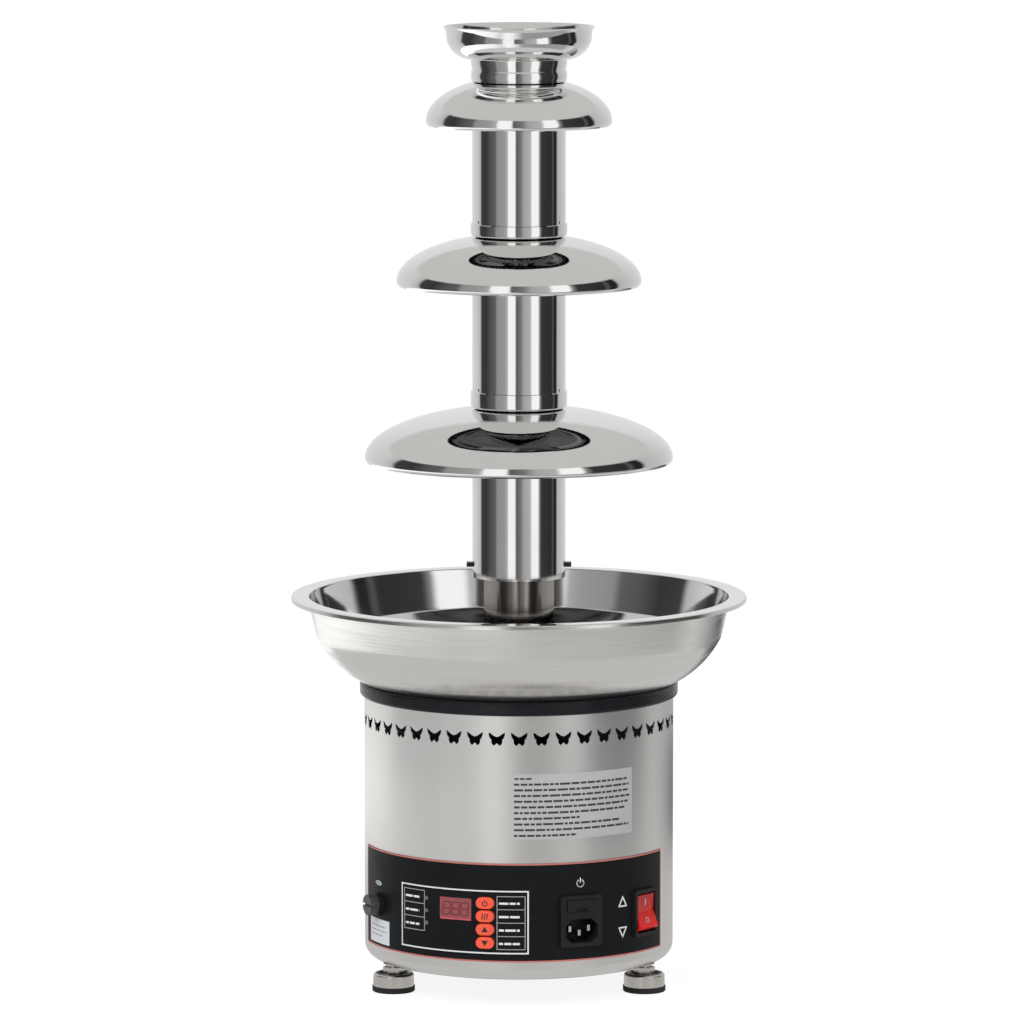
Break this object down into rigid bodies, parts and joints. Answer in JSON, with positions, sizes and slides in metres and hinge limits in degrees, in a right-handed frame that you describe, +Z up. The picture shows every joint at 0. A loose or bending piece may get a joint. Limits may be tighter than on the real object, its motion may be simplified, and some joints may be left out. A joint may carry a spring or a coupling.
{
  "type": "chocolate fountain",
  "caption": "Table-top chocolate fountain: steel drum with controls and three levelling feet, wide bowl, auger tube with three domed tiers and a crown cup; the tower lifts off piece by piece.",
  "frame": {"origin": "on the surface it stands on, under the centre of its box, which is the tower's axis", "axes": "+Z up along the tower's axis, -Y towards the front of the controls, +X to the viewer's right"},
  "size_m": [0.32, 0.32, 0.6758],
  "materials": {
    "brushed_sheet": "satin brushed",
    "mirror_sheet": "mirror polished",
    "turned_steel": "turned",
    "cast_case": "satin",
    "gear_brass": "satin",
    "laminations": "matte",
    "motor_paint": "satin",
    "black_rubber": "matte",
    "button_rubber": "matte, orange",
    "matte_black": "matte",
    "gloss_black": "glossy",
    "display_red": "glossy, dark red",
    "light_green": "glossy, clear",
    "rocker_red": "glossy, red",
    "board_green": "satin, green"
  },
  "bodies": {
    "base": {"drum_shell": "brushed_sheet", "bottom_cover": "brushed_sheet", "screws": "turned_steel", "deck_plate": "brushed_sheet", "collar_ring": "gloss_black", "bowl": "brushed_sheet", "bowl_hub": "turned_steel", "hub_nut": "turned_steel", "hub_bush": "gear_brass", "shaft_seal": "black_rubber", "locating_pegs": "turned_steel", "heater_ring": "cast_case", "heater_clamp": "brushed_sheet", "heat_sensors": "matte_black", "gearbox_case": "cast_case", "gearbox_cover": "cast_case", "motor_can": "motor_paint", "motor_stator": "laminations", "overlay_panel": "matte_black", "control_board": "board_green", "display_module": "display_red", "status_lights": "light_green", "inlet_body": "matte_black", "inlet_pins": "gear_brass", "switch_body": "matte_black", "fuse_holder": "matte_black", "wiring": "black_rubber", "foot_inserts": "turned_steel"},
    "drive": {"drive_shaft": "turned_steel", "output_gear": "gear_brass"},
    "idler": {"idler_gear": "gear_brass"},
    "rotor": {"motor_rotor": "turned_steel"},
    "foot_1": {"foot_pad_1": "black_rubber", "foot_cap_1": "turned_steel"},
    "stud_1": {"foot_stud_1": "turned_steel"},
    "foot_2": {"foot_pad_2": "black_rubber", "foot_cap_2": "turned_steel"},
    "stud_2": {"foot_stud_2": "turned_steel"},
    "foot_3": {"foot_pad_3": "black_rubber", "foot_cap_3": "turned_steel"},
    "stud_3": {"foot_stud_3": "turned_steel"},
    "button_1": {"button_1": "button_rubber"},
    "button_2": {"button_2": "button_rubber"},
    "button_3": {"button_3": "button_rubber"},
    "button_4": {"button_4": "button_rubber"},
    "rocker": {"switch_rocker": "rocker_red"},
    "drawer": {"fuse_drawer": "matte_black"},
    "fuse_knob": {"fuse_cap": "matte_black"},
    "auger": {"auger": "turned_steel"},
    "tube": {"auger_tube": "brushed_sheet"},
    "tier_3": {"dome_3": "mirror_sheet", "sleeve_3": "mirror_sheet"},
    "tier_2": {"dome_2": "mirror_sheet", "sleeve_2": "mirror_sheet", "ring_2": "mirror_sheet"},
    "tier_1": {"dome_1": "mirror_sheet", "sleeve_1": "mirror_sheet", "ring_1": "mirror_sheet"},
    "crown": {"crown_neck": "mirror_sheet", "crown_cup": "mirror_sheet"}
  },
  "joints": [
    {"name": "rotor_spin", "type": "hinge", "parent": "base", "child": "rotor", "pos_m": [-0.032, 0.036, 0.09], "axis": [0, 0, 1], "continuous": true},
    {"name": "idler_spin", "type": "hinge", "parent": "base", "child": "idler", "pos_m": [0, 0.036, 0.14], "axis": [0, 0, 1], "continuous": true},
    {"name": "shaft_spin", "type": "hinge", "parent": "base", "child": "drive", "pos_m": [0, 0, 0.16], "axis": [0, 0, 1], "continuous": true},
    {"name": "auger_lift", "type": "slide", "parent": "drive", "child": "auger", "axis": [0, 0, 1], "range_m": [0, 0.45]},
    {"name": "tube_lift", "type": "slide", "parent": "base", "child": "tube", "axis": [0, 0, 1], "range_m": [0, 0.45]},
    {"name": "tier_3_lift", "type": "slide", "parent": "tube", "child": "tier_3", "axis": [0, 0, 1], "range_m": [0, 0.37]},
    {"name": "tier_2_lift", "type": "slide", "parent": "tier_3", "child": "tier_2", "axis": [0, 0, 1], "range_m": [0, 0.245]},
    {"name": "tier_1_lift", "type": "slide", "parent": "tier_2", "child": "tier_1", "axis": [0, 0, 1], "range_m": [0, 0.13]},
    {"name": "crown_lift", "type": "slide", "parent": "tier_1", "child": "crown", "axis": [0, 0, 1], "range_m": [0, 0.03]},
    {"name": "stud_1_turn", "type": "hinge", "parent": "foot_1", "child": "stud_1", "pos_m": [-0.08808, -0.03559, 0.02], "axis": [0, 0, 1], "range_deg": [0, 2890]},
    {"name": "foot_1_level", "type": "slide", "parent": "base", "child": "foot_1", "axis": [0, 0, -1], "range_m": [0, 0.01]},
    {"name": "stud_2_turn", "type": "hinge", "parent": "foot_2", "child": "stud_2", "pos_m": [0.08808, -0.03559, 0.02], "axis": [0, 0, 1], "range_deg": [0, 2890]},
    {"name": "foot_2_level", "type": "slide", "parent": "base", "child": "foot_2", "axis": [0, 0, -1], "range_m": [0, 0.01]},
    {"name": "stud_3_turn", "type": "hinge", "parent": "foot_3", "child": "stud_3", "pos_m": [0, 0.095, 0.02], "axis": [0, 0, 1], "range_deg": [0, 2890]},
    {"name": "foot_3_level", "type": "slide", "parent": "base", "child": "foot_3", "axis": [0, 0, -1], "range_m": [0, 0.01]},
    {"name": "button_1_press", "type": "slide", "parent": "base", "child": "button_1", "axis": [0.2147, 0.9767, 0], "range_m": [0, 0.001], "stiffness_N_per_m": 800, "springref_m": -0.0005},
    {"name": "button_2_press", "type": "slide", "parent": "base", "child": "button_2", "axis": [0.2147, 0.9767, 0], "range_m": [0, 0.001], "stiffness_N_per_m": 800, "springref_m": -0.0005},
    {"name": "button_3_press", "type": "slide", "parent": "base", "child": "button_3", "axis": [0.2147, 0.9767, 0], "range_m": [0, 0.001], "stiffness_N_per_m": 800, "springref_m": -0.0005},
    {"name": "button_4_press", "type": "slide", "parent": "base", "child": "button_4", "axis": [0.2147, 0.9767, 0], "range_m": [0, 0.001], "stiffness_N_per_m": 800, "springref_m": -0.0005},
    {"name": "rocker_turn", "type": "hinge", "parent": "base", "child": "rocker", "pos_m": [0.08395, -0.06372, 0.0615], "axis": [0.6046, 0.7965, 0], "range_deg": [0, 18]},
    {"name": "drawer_pull", "type": "slide", "parent": "base", "child": "drawer", "axis": [0.3875, -0.9219, 0], "range_m": [0, 0.014]},
    {"name": "fuse_knob_turn", "type": "hinge", "parent": "base", "child": "fuse_knob", "pos_m": [-0.10049, -0.04945, 0.064], "axis": [-0.8973, -0.4415, 0], "range_deg": [0, 60]}
  ],
  "couplings": [
    {"joint": "shaft_spin", "follows": "rotor_spin", "ratio": 0.095238},
    {"joint": "idler_spin", "follows": "rotor_spin", "ratio": -0.33333},
    {"joint": "stud_1_turn", "follows": "foot_1_level", "rad_per_m": 5026.5},
    {"joint": "stud_2_turn", "follows": "foot_2_level", "rad_per_m": 5026.5},
    {"joint": "stud_3_turn", "follows": "foot_3_level", "rad_per_m": 5026.5}
  ]
}
